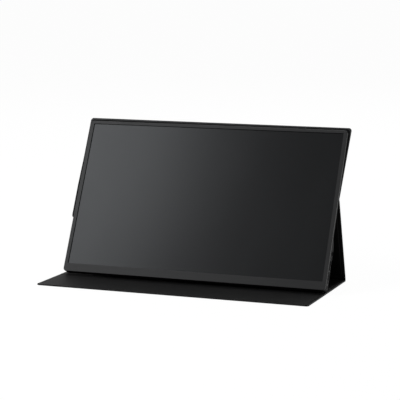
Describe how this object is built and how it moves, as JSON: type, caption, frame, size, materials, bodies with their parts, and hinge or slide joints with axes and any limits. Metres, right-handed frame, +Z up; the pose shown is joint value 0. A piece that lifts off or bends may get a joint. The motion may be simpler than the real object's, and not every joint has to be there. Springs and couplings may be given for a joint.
{
  "type": "portable monitor",
  "caption": "Slim portable monitor leaning on a folding folio stand, with side sockets, side buttons and a leg that folds back until the stand lies flat.",
  "frame": {"origin": "centre of the overall box, on the table under the base", "axes": "+X along the screen's width to the viewer's right, +Y to the back, +Z up"},
  "size_m": [0.3596, 0.1764, 0.1961],
  "materials": {
    "bezel_plastic": "fine matt texture, dark grey",
    "cover_plastic": "fine matt texture, black",
    "button_plastic": "satin black",
    "mount_plastic": "matt black",
    "screen_glass": "anti-glare display glass, switched off",
    "foam": "black foam tape",
    "film": "white optical film",
    "clear_plastic": "clear moulded plastic",
    "led_strip": "white strip with yellow lights",
    "tray_steel": "bare sheet steel",
    "socket_metal": "nickel plated",
    "circuit_board": "green solder mask",
    "flex_film": "amber film",
    "chip_plastic": "black moulding",
    "folio_leather": "black leather-like sheet, fine grain",
    "folio_lining": "black microfibre",
    "fibre_board": "grey-brown fibre board",
    "magnet": "plated block magnet"
  },
  "bodies": {
    "base": {"base_skin": "folio_leather", "base_front_board": "fibre_board", "base_rear_board": "fibre_board", "base_lining": "folio_lining", "base_magnets": "magnet", "foot_fold_strip": "folio_leather"},
    "leg": {"leg_skin": "folio_leather", "leg_board": "fibre_board", "leg_lining": "folio_lining"},
    "monitor": {"front_bezel": "bezel_plastic", "bezel_tape": "foam", "lcd_cell": "screen_glass", "diffuser_film": "film", "light_guide": "clear_plastic", "led_strip": "led_strip", "reflector_sheet": "film", "panel_tray": "tray_steel", "tray_pads": "foam", "driver_board": "circuit_board", "panel_flexes": "flex_film", "display_cable": "flex_film", "main_board": "circuit_board", "board_chips": "chip_plastic", "board_screws": "tray_steel", "hdmi_shell": "socket_metal", "hdmi_tongue": "chip_plastic", "usb_c_shell": "socket_metal", "usb_c_tongue": "chip_plastic", "audio_jack": "chip_plastic", "status_light": "clear_plastic", "light_pipe": "clear_plastic", "button_switches": "chip_plastic", "button_board": "circuit_board", "speaker_left": "chip_plastic", "speaker_right": "chip_plastic", "keeper_plates": "tray_steel", "rear_cover": "cover_plastic", "mount_plate": "mount_plastic", "upper_skin": "folio_leather", "upper_board": "fibre_board", "mid_fold_strip": "folio_leather"},
    "power_button": {"power_button": "button_plastic"},
    "down_button": {"down_button": "button_plastic"},
    "up_button": {"up_button": "button_plastic"}
  },
  "joints": [
    {"name": "foot_fold", "type": "hinge", "parent": "base", "child": "leg", "pos_m": [0, 0.07506, 0.001], "axis": [-1, 0, 0], "range_deg": [0, 101]},
    {"name": "mid_fold", "type": "hinge", "parent": "leg", "child": "monitor", "pos_m": [0, 0.0407, 0.11102], "axis": [1, 0, 0], "range_deg": [0, 36.5]},
    {"name": "power_press", "type": "slide", "parent": "monitor", "child": "power_button", "axis": [1, 0, 0], "range_m": [0, 0.0005], "stiffness_N_per_m": 800, "springref_m": -0.0005},
    {"name": "down_press", "type": "slide", "parent": "monitor", "child": "down_button", "axis": [1, 0, 0], "range_m": [0, 0.0005], "stiffness_N_per_m": 800, "springref_m": -0.0005},
    {"name": "up_press", "type": "slide", "parent": "monitor", "child": "up_button", "axis": [1, 0, 0], "range_m": [0, 0.0005], "stiffness_N_per_m": 800, "springref_m": -0.0005}
  ],
  "couplings": [
    {"joint": "mid_fold", "follows": "foot_fold", "ratio": 0.36}
  ]
}
